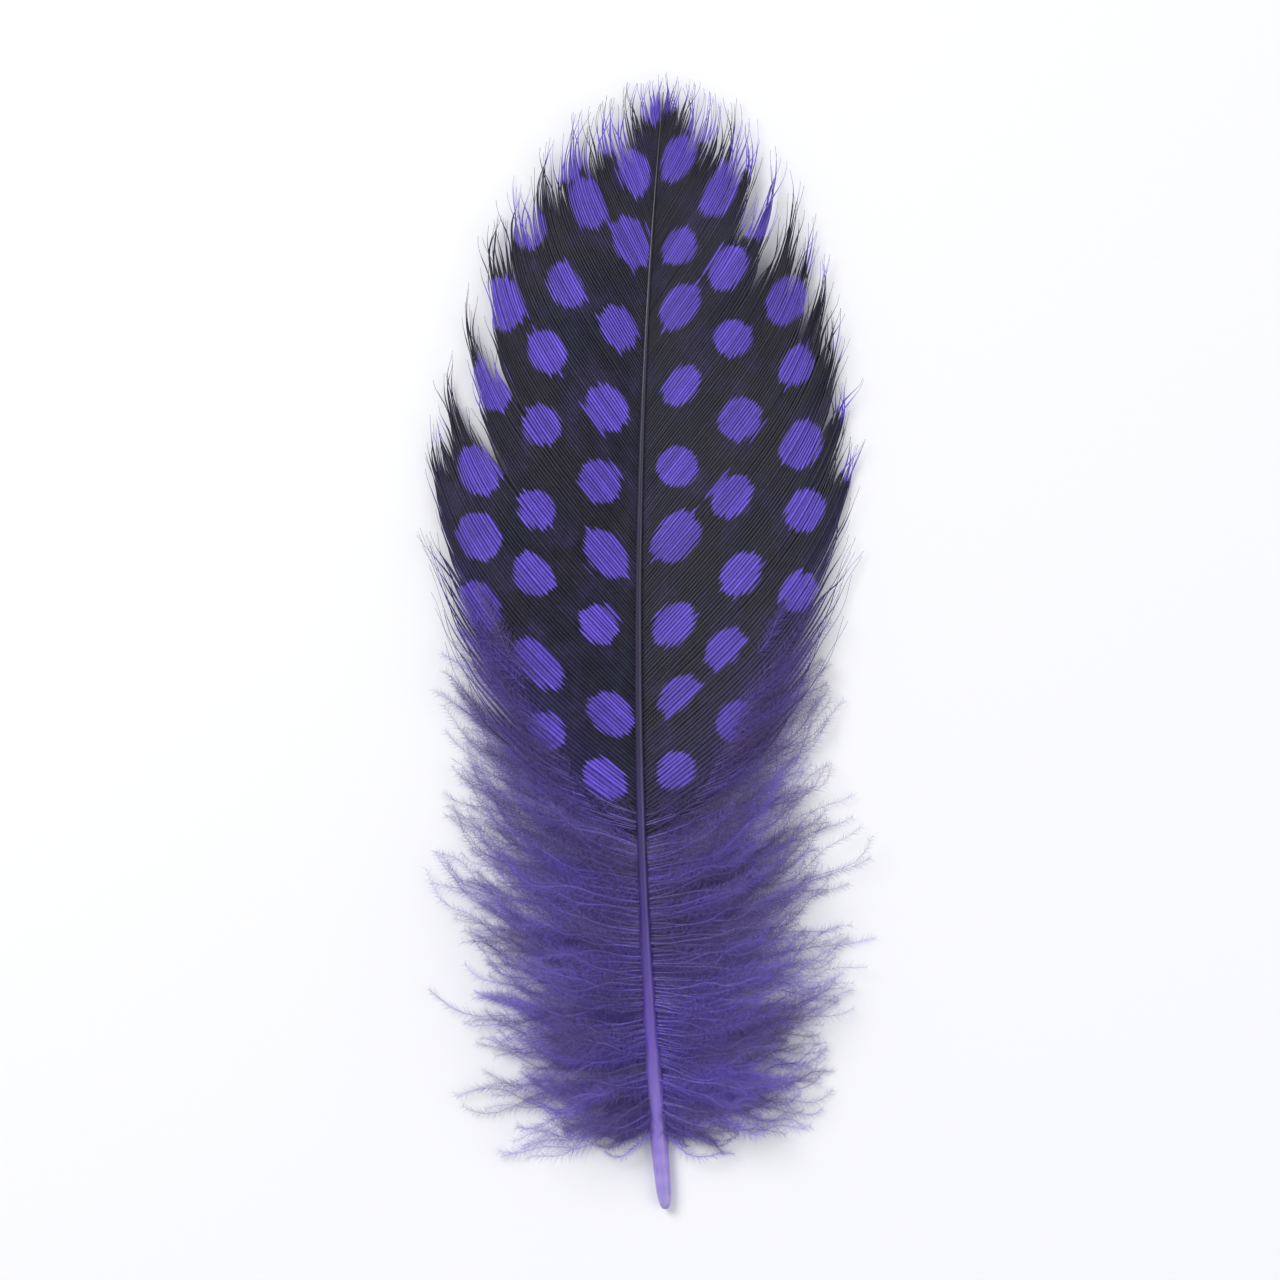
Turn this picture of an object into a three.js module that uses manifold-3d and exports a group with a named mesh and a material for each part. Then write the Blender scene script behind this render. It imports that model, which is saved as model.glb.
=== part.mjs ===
// A guinea fowl's body feather, 135 mm long, lying with its spotted side up.
// Millimetres, +Y from the quill to the tip, +Z up, the surface it lies on at z = 0.
// It grew as one piece, so everything here is fused into one solid: the quill and
// shaft, the vane, the locks of down at its foot and the afterfeather underneath.
import * as THREE from "three";
import { ParametricGeometry } from "three/addons/geometries/ParametricGeometry.js";
import { mergeVertices } from "three/addons/utils/BufferGeometryUtils.js";
import Module from "manifold-3d";

const wasm = await Module();
wasm.setup();

// Driving dimensions of the whole feather
const FEATHER_LENGTH = 135;
const ARCH_HEIGHT = 5.6; // how far the vane's middle stands off the surface
const SIDEWAYS_BOW = 3.2; // how far the quill and tip bend to one side

// Quill and shaft
const QUILL_RADIUS = 1.15;
const QUILL_LENGTH = 10.5; // the bare stretch, which lies flat
const SHAFT_END = 132.5;
const SHAFT_TIP_RADIUS = 0.22;
const SHAFT_SIDES = 8;
const SHAFT_STEPS = 30;

// Vane
const VANE_HALF_WIDTH = 26.5; // to the tips of the longest barbs
const VANE_WIDEST_AT = 84;
const VANE_FIRST_BARB = 44; // where barbs leave the shaft
const VANE_LAST_BARB = 128;
const VANE_LOWEST_TIP = 69; // where the first barb ends
const VANE_LAST_TIP = 1.56; // radians round the outline, just short of straight ahead
const TIP_CROWDING = 0.65; // under 1, the barbs' tips draw together towards the feather's tip
const BARB_LEAVES = 1.42; // slant at the shaft, as a share of the straight line's to the tip
const BARB_ENDS = [0.44, -1.16]; // and the slant at its own tip, first and last barb
const BARB_HANDLE = 0.38; // share of a barb's span that its curve's handles take
const PARTING_DEPTH = [0.07, 0.13]; // share of the barbs' length between two locks
const SPLIT_DEPTH = 0.27; // the same where the web has split
const SPLIT_SHARE = 0.28; // of the partings
const LOCK_UNEVENNESS = 0.05; // share of the barbs' length by which locks differ
const VANE_THICKNESS = 0.62;
const MARGIN_THICKNESS = 0.3;
const VANE_STATIONS = 46;
const VANE_COLUMNS = 6; // on each side of the shaft
const LOCKS_TO_THE_LEFT = 10.5; // pointed locks that the vane's margin is parted into
const LOCKS_TO_THE_RIGHT = 12.5;

// Locks of down
const DOWN_STATIONS = 10; // on each side, along the surface
const DOWN_STATIONS_ABOVE = 8; // on each side, over those
const DOWN_SPAN = [15, 26.5]; // shaft to tip, at the quill and at the vane
const DOWN_ABOVE_SPAN = 0.84; // the upper layer's, as a share of the lower one's
const DOWN_FIRST_ROOT = 11;
const DOWN_LAST_ROOT = 49;
const DOWN_LEAN_OUT = [110, 70]; // degrees from the shaft at a lock's root, quill and vane
const DOWN_LEAN_END = [80, 33]; // and at its tip
const DOWN_LYING = [1.1, 0.6]; // height of the lower layer's locks, two thirds out and at their tips
const DOWN_ABOVE_RISE = 3.4; // of the upper layer's locks over the shaft, a third of the way out
const DOWN_ABOVE_PEAK = [6.8, 8.8]; // their height two thirds out, lowest and highest lock
const DOWN_ABOVE_TIP = [2.6, 5.6]; // and at their tips
const DOWN_ABOVE_SINKS = 0.45; // share of that height that is lost towards the vane
const LOCK_HANDLES = [0.38, 0.36]; // share of a lock's span that its curve's handles take
const LOCK_HALF_WIDTH = 2.5;
const LOCK_HALF_DEPTH = 1.3;
const LOCK_SIDES = 5;
const LOCK_STEPS = 6;

// Afterfeather
const AFTER_ROOT = 11;
const AFTER_END = 64;
const AFTER_RADIUS = 0.5;
const AFTER_STATIONS = 6; // on each side
const AFTER_SPAN = [19, 13]; // shaft to tip, first and last lock
const AFTER_LEAN_OUT = [70, 40];
const AFTER_LEAN_END = [34, 6];
const AFTER_LYING = [1.1, 0.7];
const AFTER_FULLNESS = 0.85; // its locks' thickness, as a share of the down's

const GOLDEN = 0.618034;
const degrees = THREE.MathUtils.degToRad;
const lerp = THREE.MathUtils.lerp;
const between = ([first, last], share) => lerp(first, last, share);

// An even scatter of numbers between 0 and 1, one for each whole k.
function scatter(k) {
  const turns = k * GOLDEN + 0.37;
  return turns - Math.floor(turns);
}

// How far the shaft is bent to the side at a distance along the feather.
function bow(y) {
  const half = FEATHER_LENGTH / 2;
  return SIDEWAYS_BOW * ((y - half) / half) ** 2;
}

// Share of the arch's height that the shaft has reached: it lies flat along the
// quill, is highest where the vane is widest and comes down again at the tip.
function archShare(y) {
  if (y < VANE_WIDEST_AT) {
    const s = THREE.MathUtils.clamp((y - QUILL_LENGTH) / (VANE_WIDEST_AT - QUILL_LENGTH), 0, 1);
    return s * s * (3 - 2 * s);
  }
  return 1 - ((y - VANE_WIDEST_AT) / (FEATHER_LENGTH - VANE_WIDEST_AT)) ** 2;
}

// Height of the vane's middle layer over a point: a dome whose rim lies on the surface.
function vaneHeight(across, y) {
  const over = archShare(y) - (across / VANE_HALF_WIDTH) ** 2;
  const rounded = (over + Math.sqrt(over * over + 0.02)) / 2;
  return MARGIN_THICKNESS / 2 + ARCH_HEIGHT * rounded;
}

function shaftRadius(y) {
  const s = THREE.MathUtils.clamp((y - QUILL_LENGTH) / (SHAFT_END - QUILL_LENGTH), 0, 1);
  return lerp(QUILL_RADIUS, SHAFT_TIP_RADIUS, s ** 0.85);
}

// Height of the shaft's centre line: the quill's lowest facet lies on the surface.
function shaftHeight(y) {
  const rest = shaftRadius(y) * Math.cos(Math.PI / SHAFT_SIDES);
  return rest + ARCH_HEIGHT * archShare(y);
}

// One barb of the vane in plan: a curve that leaves the shaft at a slant and
// turns towards the tip until it runs along the vane's rounded outline.
function barb(u, side) {
  const spread = FEATHER_LENGTH - VANE_WIDEST_AT;
  const lowest = Math.asin((VANE_LOWEST_TIP - VANE_WIDEST_AT) / spread);
  const round = lerp(lowest, VANE_LAST_TIP, u ** TIP_CROWDING);
  const root = new THREE.Vector3(0, lerp(VANE_FIRST_BARB, VANE_LAST_BARB, u), 0);
  const tip = new THREE.Vector3(
    side * VANE_HALF_WIDTH * Math.cos(round),
    VANE_WIDEST_AT + spread * Math.sin(round),
    0,
  );
  const straight = Math.atan2(Math.abs(tip.x), tip.y - root.y);
  const leaves = BARB_LEAVES * straight;
  const ends = between(BARB_ENDS, u) * straight;
  const handle = BARB_HANDLE * root.distanceTo(tip);
  const direction = (lean) => new THREE.Vector3(side * Math.sin(lean), Math.cos(lean), 0);
  return new THREE.CubicBezierCurve3(
    root,
    root.clone().addScaledVector(direction(leaves), handle),
    tip.clone().addScaledVector(direction(ends), -handle),
    tip,
  );
}

// How far along its barbs the vane reaches at a station: the margin is parted into
// pointed locks, and every few locks a deeper split runs into the web.
function webReach(station, side) {
  const locks = side > 0 ? LOCKS_TO_THE_RIGHT : LOCKS_TO_THE_LEFT;
  const turns = (station / VANE_STATIONS) * locks;
  const parting = Math.round(turns);
  const nearness = Math.max(0, 1 - 2 * Math.abs(turns - parting));
  const k = 3 * parting + (side > 0 ? 1 : 0);
  const isSplit = scatter(k) > 1 - SPLIT_SHARE && parting > 1 && parting < locks - 2;
  const depth = isSplit ? SPLIT_DEPTH : between(PARTING_DEPTH, scatter(k + 1));
  return 1 - LOCK_UNEVENNESS * scatter(Math.floor(turns) + 7) - depth * nearness;
}

// A point of the vane's top (face = 1) or underside (face = -1).
function vanePoint(station, column, face) {
  const side = Math.sign(column) || 1;
  const u = station / VANE_STATIONS;
  const along = (Math.abs(column) / VANE_COLUMNS) * webReach(station, side);
  const flat = barb(u, side).getPoint(along);
  const isEdge = station === 0 || station === VANE_STATIONS;
  const half = isEdge ? 0 : lerp(VANE_THICKNESS, MARGIN_THICKNESS, along) / 2;
  const z = vaneHeight(flat.x, flat.y) + face * half;
  return new THREE.Vector3(flat.x + bow(flat.y), flat.y, Math.max(z, 0));
}

// The vane as one closed plate: each station's section runs over the top from the
// left margin to the right one and back along the underside.
function vaneGeometry() {
  const across = 2 * VANE_COLUMNS;
  const loop = 2 * across + 2;
  const place = (u, v, target) => {
    const station = Math.round(v * VANE_STATIONS);
    const step = Math.round(u * loop) % loop;
    const isTop = step <= across;
    const column = isTop ? step - VANE_COLUMNS : across + 1 + VANE_COLUMNS - step;
    target.copy(vanePoint(station, column, isTop ? 1 : -1));
  };
  return new ParametricGeometry(place, loop, VANE_STATIONS);
}

// A tapering closed body along a curve, oval in section, that lies no lower than
// the surface. halfWidth and halfDepth are functions of the share along the curve.
function taperedBody(curve, halfWidth, halfDepth, sides, steps) {
  const up = new THREE.Vector3(0, 0, 1);
  const place = (u, v, target) => {
    const centre = curve.getPoint(v);
    const tangent = curve.getTangent(v);
    const across = new THREE.Vector3().crossVectors(tangent, up).normalize();
    const normal = new THREE.Vector3().crossVectors(across, tangent);
    const isPole = v <= 0 || v >= 1;
    const turn = 2 * Math.PI * (u + 0.5 / sides) - Math.PI / 2;
    target.copy(centre);
    if (!isPole) {
      target.addScaledVector(across, Math.cos(turn) * halfWidth(v));
      target.addScaledVector(normal, Math.sin(turn) * halfDepth(v));
    }
    target.z = Math.max(target.z, 0);
  };
  return new ParametricGeometry(place, sides, steps);
}

// A lock of down: slim at its root, fullest near the middle, pointed at its tip.
function lockGeometry(curve, size) {
  const fullness = (t) => size * (0.3 + 0.7 * Math.sin(Math.PI * t ** 0.8));
  return taperedBody(
    curve,
    (t) => LOCK_HALF_WIDTH * fullness(t),
    (t) => LOCK_HALF_DEPTH * fullness(t),
    LOCK_SIDES,
    LOCK_STEPS,
  );
}

// The curve of a lock: it leaves the shaft steeply and turns towards the feather's
// tip. The heights are those of its four points, from its root to its tip.
function lockCurve(root, side, span, leanOut, leanEnd, heights) {
  const direction = (lean) => new THREE.Vector3(side * Math.sin(lean), Math.cos(lean), 0);
  const start = new THREE.Vector3(0, root, 0);
  const end = start.clone().addScaledVector(direction((leanOut + leanEnd) / 2), span);
  const first = start.clone().addScaledVector(direction(leanOut), LOCK_HANDLES[0] * span);
  const second = end.clone().addScaledVector(direction(leanEnd), -LOCK_HANDLES[1] * span);
  const points = [start, first, second, end];
  points.forEach((p, i) => {
    p.x += bow(p.y);
    p.z = heights[i];
  });
  return new THREE.CubicBezierCurve3(...points);
}

// Heights of a down lock's four points. The lower layer comes down to the surface, and
// the upper one stands up from the shaft, lower where it nears the vane.
function downHeights(layer, share, root, k) {
  const high = shaftHeight(root);
  if (layer === 0) return [high, high / 2, ...DOWN_LYING];
  const kept = 1 - DOWN_ABOVE_SINKS * THREE.MathUtils.smoothstep(share, 0.3, 0.8);
  const peak = kept * between(DOWN_ABOVE_PEAK, scatter(k + 3));
  const tip = kept * between(DOWN_ABOVE_TIP, scatter(k + 7));
  return [high, high + kept * DOWN_ABOVE_RISE, peak, tip];
}

// Down on each side in two layers: one lies along the surface from the quill to the
// vane, one stands over it and stops short of the vane.
function downLocks() {
  const locks = [];
  for (const side of [-1, 1]) {
    for (let station = 0; station < DOWN_STATIONS; station++) {
      const share = (station + 0.5) / DOWN_STATIONS;
      for (const layer of station < DOWN_STATIONS_ABOVE ? [0, 1] : [0]) {
        const k = 4 * station + 2 * layer + (side > 0 ? 1 : 0);
        const root = lerp(DOWN_FIRST_ROOT, DOWN_LAST_ROOT, share) + layer * 1.2;
        const fullest = between(DOWN_SPAN, Math.sin((Math.PI / 2) * share ** 0.6));
        const span = fullest * (layer === 0 ? 1 : DOWN_ABOVE_SPAN) * lerp(0.92, 1.05, scatter(k));
        const leanOut = degrees(between(DOWN_LEAN_OUT, share) + 9 * (scatter(k + 5) - 0.5));
        const leanEnd = degrees(between(DOWN_LEAN_END, share) + 12 * (scatter(k + 9) - 0.5));
        const heights = downHeights(layer, share, root, k);
        locks.push(lockGeometry(lockCurve(root, side, span, leanOut, leanEnd, heights), 1));
      }
    }
  }
  return locks;
}

// The afterfeather: a second, downy plume on a thin shaft of its own, which
// springs from the quill's upper end and lies under the vane.
function afterfeather() {
  const rise = (y) => AFTER_RADIUS + 1.1 * archShare(y);
  const knots = [0, 0.1, 0.25, 0.5, 0.75, 1].map((share) => {
    const y = lerp(AFTER_ROOT, AFTER_END, share);
    return new THREE.Vector3(bow(y), y, share === 0 ? shaftHeight(y) : rise(y));
  });
  const thickness = (t) => AFTER_RADIUS * (1 - 0.6 * t);
  const stem = taperedBody(new THREE.CatmullRomCurve3(knots), thickness, thickness, LOCK_SIDES, 10);
  const pieces = [stem];
  for (const side of [-1, 1]) {
    for (let station = 0; station < AFTER_STATIONS; station++) {
      const share = (station + 1) / AFTER_STATIONS;
      const root = lerp(AFTER_ROOT + 2, AFTER_END - 3, share);
      const span = between(AFTER_SPAN, share);
      const leanOut = degrees(between(AFTER_LEAN_OUT, share));
      const leanEnd = degrees(between(AFTER_LEAN_END, share));
      const heights = [rise(root), rise(root), ...AFTER_LYING];
      pieces.push(lockGeometry(lockCurve(root, side, span, leanOut, leanEnd, heights), AFTER_FULLNESS));
    }
  }
  return pieces;
}

// The quill and shaft: an eight-sided tube with a rounded end at the quill, its
// rings set closer there, that tapers to a hair at the tip.
function shaftGeometry() {
  const distances = [0, 0.25, 0.9, 2.2];
  for (let step = 0; step <= SHAFT_STEPS; step++) {
    distances.push(lerp(5, SHAFT_END, step / SHAFT_STEPS));
  }
  const points = distances.map((y) => new THREE.Vector3(bow(y), y, shaftHeight(y)));
  const line = new THREE.CatmullRomCurve3(points);
  const rings = points.length - 1;
  const girth = (t) => {
    const y = distances[Math.round(t * rings)];
    return shaftRadius(y) * Math.min(1, 0.55 + 0.5 * y, 0.75 + 0.2 * y);
  };
  return taperedBody(line, girth, girth, SHAFT_SIDES, rings);
}

// A closed surface as a solid, with the triangles that collapsed at its poles
// dropped and the rest turned to face outwards.
function toSolid(geometry) {
  const bare = geometry.clone();
  bare.deleteAttribute("normal");
  bare.deleteAttribute("uv");
  const merged = mergeVertices(bare, 1e-4);
  const corner = (i) => new THREE.Vector3().fromBufferAttribute(merged.attributes.position, i);
  const faces = [];
  let volume = 0;
  for (let i = 0; i < merged.index.count; i += 3) {
    const [a, b, c] = merged.index.array.slice(i, i + 3);
    if (a === b || b === c || c === a) continue;
    faces.push([a, b, c]);
    volume += corner(a).dot(corner(b).cross(corner(c)));
  }
  const outward = volume > 0 ? faces : faces.map(([a, b, c]) => [a, c, b]);
  return new wasm.Manifold(
    new wasm.Mesh({
      numProp: 3,
      vertProperties: merged.attributes.position.array,
      triVerts: Uint32Array.from(outward.flat()),
    }),
  );
}

function toGeometry(solid) {
  const mesh = solid.getMesh();
  const geometry = new THREE.BufferGeometry();
  geometry.setAttribute("position", new THREE.BufferAttribute(mesh.vertProperties, 3));
  geometry.setIndex(new THREE.BufferAttribute(mesh.triVerts, 1));
  geometry.computeVertexNormals();
  return geometry;
}

const pieces = [shaftGeometry(), vaneGeometry(), ...downLocks(), ...afterfeather()];
const fused = pieces.map(toSolid).reduce((whole, piece) => whole.add(piece));

const feather = new THREE.Mesh(
  toGeometry(fused),
  new THREE.MeshStandardMaterial({ color: 0x3a2f6b, roughness: 0.6, metalness: 0 }),
);
feather.name = "feather";

const box = new THREE.Box3().setFromObject(feather);
const centre = box.getCenter(new THREE.Vector3());
feather.position.set(-centre.x, -centre.y, -box.min.z);

const part = new THREE.Group();
part.add(feather);
export default part;
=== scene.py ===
import bpy
import numpy as np
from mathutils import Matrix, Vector


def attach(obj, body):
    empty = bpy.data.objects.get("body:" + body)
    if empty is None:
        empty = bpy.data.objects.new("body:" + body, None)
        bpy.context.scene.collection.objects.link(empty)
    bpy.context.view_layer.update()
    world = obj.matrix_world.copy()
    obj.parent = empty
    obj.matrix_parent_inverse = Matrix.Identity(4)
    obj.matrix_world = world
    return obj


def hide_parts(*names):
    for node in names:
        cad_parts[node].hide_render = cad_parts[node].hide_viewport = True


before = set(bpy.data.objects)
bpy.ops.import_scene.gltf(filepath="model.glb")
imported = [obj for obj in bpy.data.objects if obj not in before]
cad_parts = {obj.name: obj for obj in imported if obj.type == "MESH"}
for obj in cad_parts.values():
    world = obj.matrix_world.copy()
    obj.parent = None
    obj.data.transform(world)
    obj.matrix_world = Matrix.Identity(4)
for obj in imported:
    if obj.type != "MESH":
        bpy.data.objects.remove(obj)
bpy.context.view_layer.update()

# Quill and shaft
# The feather's one rod of horny keratin: a hollow bare quill at the foot, then the
# solid shaft that carries the barbs, grooved below and thinning to a hair at the tip.
# Violet dye shows through the pale quill, and the bird's own black takes over upwards.
FEATHER_LENGTH = 0.135
ARCH_HEIGHT, SIDEWAYS_BOW = 0.0056, 0.0032
VANE_WIDEST_AT = 0.084
QUILL_LENGTH, QUILL_RADIUS = 0.0105, 0.00115
QUILL_SEAT = 0.924
SHAFT_END, SHAFT_TIP_RADIUS, SHAFT_TAPER = 0.1325, 0.00022, 0.85
SHAFT_STEPS, SHAFT_SIDES = 150, 16


def between(low, high, share):
    """The value a share of the way from low to high."""
    return low + (high - low) * share


def ramp(low, high, x):
    """A straight step: nothing below low, one above high, and even between them."""
    return np.clip((x - low) / (high - low), 0, 1)


def smooth(low, high, x):
    """A smooth step: three s squared less two s cubed, where s is the straight step."""
    s = ramp(low, high, x)
    return s * s * (3 - 2 * s)


def bow(y):
    """How far the shaft is bent sideways: a parabola that is zero at mid-length."""
    half = FEATHER_LENGTH / 2
    return SIDEWAYS_BOW * ((y - half) / half) ** 2


def arch_share(y):
    """The shaft's height as a share of the arch: a smooth step up from the quill to the
    widest point of the vane, then a falling parabola to the tip."""
    fall = 1 - ((y - VANE_WIDEST_AT) / (FEATHER_LENGTH - VANE_WIDEST_AT)) ** 2
    return np.where(y < VANE_WIDEST_AT, smooth(QUILL_LENGTH, VANE_WIDEST_AT, y), fall)


def shaft_radius(y):
    """The shaft's radius: even along the quill, then a near-straight taper to the tip."""
    return between(QUILL_RADIUS, SHAFT_TIP_RADIUS, ramp(QUILL_LENGTH, SHAFT_END, y) ** SHAFT_TAPER)


def shaft_height(y):
    """The centre line's height: the arch, and a little less than the shaft's own radius,
    so that the quill lies on a narrow flat."""
    return shaft_radius(y) * QUILL_SEAT + ARCH_HEIGHT * arch_share(y)


def to_part(points):
    """Points of the feather's own plan moved into the frame: the quill's end is the point
    of the solid that lies furthest back, and everything moves by the same step."""
    solid = np.empty(3 * len(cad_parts["feather"].data.vertices))
    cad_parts["feather"].data.vertices.foreach_get("co", solid)
    solid = solid.reshape(-1, 3)
    foot = solid[solid[:, 1].argmin()]
    return points + np.array([foot[0] - bow(0.0), foot[1], 0.0])


def surface_piece(name, material, points, triangles, corner_map, marks):
    """One smooth-shaded piece from an array of points and an array of triangles. corner_map
    is the place of each triangle's corners in the piece's own flat map, and marks are
    numbers kept for each point."""
    mesh = bpy.data.meshes.new(name)
    mesh.vertices.add(len(points))
    mesh.vertices.foreach_set("co", to_part(points).ravel())
    mesh.loops.add(3 * len(triangles))
    mesh.loops.foreach_set("vertex_index", triangles.ravel())
    mesh.polygons.add(len(triangles))
    mesh.polygons.foreach_set("loop_start", np.arange(0, 3 * len(triangles), 3))
    mesh.polygons.foreach_set("use_smooth", np.ones(len(triangles), bool))
    for mark, values in marks.items():
        mesh.attributes.new(mark, "FLOAT", "POINT").data.foreach_set("value", values.ravel())
    mesh.uv_layers.new(name="OFBake").data.foreach_set("uv", corner_map.ravel())
    mesh.update(calc_edges=True)
    mesh.materials.append(material)
    piece = bpy.data.objects.new(name, mesh)
    bpy.context.collection.objects.link(piece)
    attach(piece, "root")
    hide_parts("feather")


# The share of a lane of the flat map that a body's walls take, and that each fan at its
# ends takes, and the gaps between neighbouring lanes, across and along
WALL_SHARE, FAN_SHARE, LANE_GAPS = (0.02, 0.98), 0.015, (0.04, 0.01)


def joined_rings(ring, lane_low, lane_high):
    """Closed bodies from rings of points, an array of bodies by steps by sides by three.
    Each pair of neighbouring rings is joined by two triangles a side, and the first and
    last ring are closed by a fan. In the flat map a body has the lane from lane_low to
    lane_high: its length runs up the lane and its girth across it."""
    bodies, steps, sides = ring.shape[:3]
    ids = np.arange(bodies * steps * sides).reshape(bodies, steps, sides)
    girth, height = np.linspace(0, 1, sides + 1), np.linspace(*WALL_SHARE, steps)
    step = np.arange(steps - 1)[:, None, None] + (0, 0, 1, 0, 1, 1)
    side = np.arange(sides)[:, None] + (0, 1, 1, 0, 1, 0)
    foot = np.arange(1, sides - 1)[:, None] * (0, 1, 1) + (0, 1, 0)
    tip = foot[:, [0, 2, 1]]
    triangles = [ids[:, step, side % sides], ids[:, 0, foot], ids[:, -1, tip]]
    places = [(girth[side], height[step]), (girth[foot], (0, FAN_SHARE, FAN_SHARE)),
              (girth[tip], (1, 1 - FAN_SHARE, 1 - FAN_SHARE))]
    places = [np.stack(np.broadcast_arrays(*pair), -1).reshape(1, -1, 3, 2) for pair in places]
    low, high = lane_low[:, None, None, None], lane_high[:, None, None, None]
    corner_map = np.concatenate([between(low, high, place).reshape(-1, 3, 2) for place in places])
    return ring.reshape(-1, 3), np.concatenate([corners.reshape(-1, 3) for corners in triangles]), corner_map


def lanes(count, columns, share=(0.0, 1.0)):
    """Lowest and highest corner of each body's lane: the flat map is a grid with so many
    columns, and a lane takes the given share of its cell's width."""
    rows = -(-count // columns)
    column, row = np.arange(count) % columns, np.arange(count) // columns
    cell = np.array([1 / columns, 1 / rows])
    corner = np.stack([column, row], -1) * cell
    gap = LANE_GAPS[0] * (share[1] - share[0])
    low = corner + cell * np.array([share[0] + gap, LANE_GAPS[1]])
    high = corner + cell * np.array([share[1] - gap, 1 - LANE_GAPS[1]])
    return low, high


def linear(code):
    """An sRGB hex colour as linear red, green, blue and alpha."""
    srgb = np.array([int(code[i : i + 2], 16) / 255 for i in (1, 3, 5)])
    low, high = srgb / 12.92, ((srgb + 0.055) / 1.055) ** 2.4
    return (*np.where(srgb <= 0.04045, low, high), 1.0)


def add(tree, kind, settings=(), **links):
    """Adds a node of a kind to a material's tree, with its settings. Its inputs are linked
    from sockets, linked from the first output in use of other nodes, or set to values. An
    input goes by its label, with _ for each space in it, or by _ and its number."""
    node = tree.nodes.new("ShaderNode" + kind)
    for key, value in dict(settings).items():
        setattr(node, key, value)
    for label, value in links.items():
        socket = node.inputs[int(label[1:]) if label[0] == "_" else label.replace("_", " ")]
        if isinstance(value, bpy.types.Node):
            value = next(output for output in value.outputs if output.enabled)
        if isinstance(value, bpy.types.NodeSocket):
            tree.links.new(value, socket)
        else:
            socket.default_value = value
    return node


def new_finish(name, *marks):
    """An empty material with its output, ready for a surface to be linked in, and with what
    its piece's points have for each of the marks."""
    material = bpy.data.materials.new(name)
    material.use_nodes = True
    tree = material.node_tree
    tree.nodes.clear()
    out = add(tree, "OutputMaterial")
    read = {mark: add(tree, "Attribute", {"attribute_name": mark}).outputs["Fac"] for mark in marks}
    return material, tree, out, read


# The quill's end, from the bottom of its small hole, round the lip and to its outside:
# how far along each ring is, and its share of the quill's radius
MOUTH_AT = (0.0009, 0.0, 0.0, 0.00008, 0.0003, 0.0007, 0.0012, 0.0017)
MOUTH_GIRTH = (0.13, 0.17, 0.26, 0.35, 0.47, 0.59, 0.68, 0.73)
FIRST_FULL_RING, MOUTH_SWELL = 0.0021, (0.6, 3.5)
# Where along the shaft its barbs crowd it slimmer, where it draws out to a hair, and where
# its underside turns into a groove
BARBED_FROM, BARBED_SLIM = (0.012, 0.042), 0.24
HAIR_FROM, HAIR_SLIM = (0.112, SHAFT_END), 0.5
GROOVED_FROM, GROOVE_DEPTH, GROOVE_WIDTH, GROOVED_SQUEEZE = (0.016, 0.036), 0.42, 0.42, 0.12


def shaft_rings():
    """Rings round the shaft: a circle at each distance, cut flat where it would pass through
    the table. The first rings turn in at the quill's end, and past them the quill swells
    with the square root of the distance. The groove is a dip round the lowest point, which
    falls off with the square of the distance to the side. With the rings comes how far
    along each point is."""
    y = np.concatenate([MOUTH_AT, np.linspace(FIRST_FULL_RING, SHAFT_END, SHAFT_STEPS)])
    swell = np.minimum(1, MOUTH_SWELL[0] + MOUTH_SWELL[1] * np.sqrt(y[len(MOUTH_AT):]))
    girth = np.concatenate([MOUTH_GIRTH, swell]) * shaft_radius(y)
    girth = girth * (1 - BARBED_SLIM * ramp(*BARBED_FROM, y) - HAIR_SLIM * ramp(*HAIR_FROM, y))
    turn = np.pi - 2 * np.pi * np.arange(SHAFT_SIDES) / SHAFT_SIDES
    grooved = ramp(*GROOVED_FROM, y)[:, None]
    dip = np.exp(-((np.cos(turn) / GROOVE_WIDTH) ** 2))
    groove = 1 - GROOVE_DEPTH * grooved * dip * (np.sin(turn) < 0)
    squeeze = 1 - GROOVED_SQUEEZE * grooved
    x = bow(y)[:, None] + girth[:, None] * squeeze * np.cos(turn)
    z = shaft_height(y)[:, None] + girth[:, None] * groove * np.sin(turn)
    along = np.broadcast_to(y[:, None], x.shape)
    return np.stack([x, along, np.maximum(z, 0)], -1)[None], along


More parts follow.
